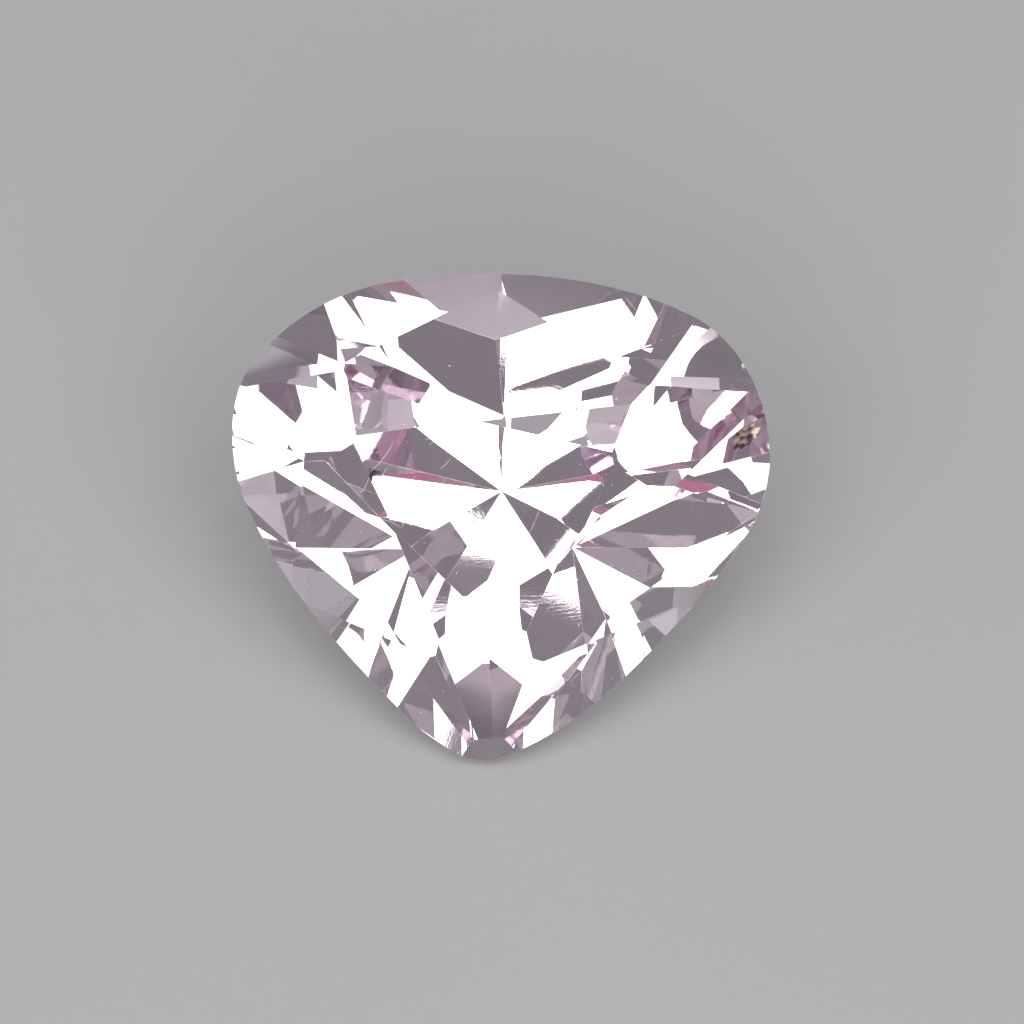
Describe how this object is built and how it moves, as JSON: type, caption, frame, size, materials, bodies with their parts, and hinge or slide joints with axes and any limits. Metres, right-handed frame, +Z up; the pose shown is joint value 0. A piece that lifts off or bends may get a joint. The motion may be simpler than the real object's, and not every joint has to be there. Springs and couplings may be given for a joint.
{
  "type": "faceted kunzite gemstone",
  "caption": "Clear, very pale pink kunzite cut as a wide rounded pear with flat facets, lying on the pavilion facet under its tip.",
  "frame": {"origin": "under the middle of the stone, on the surface that it rests on", "axes": "+Z up, +X along the stone's width, -Y the way its table leans; the tip points down towards -Y"},
  "size_m": [0.008, 0.0056, 0.0048],
  "materials": {
    "kunzite": "polished, clear, very pale pink"
  },
  "bodies": {
    "root": {"kunzite_gem": "kunzite"}
  },
  "joints": []
}
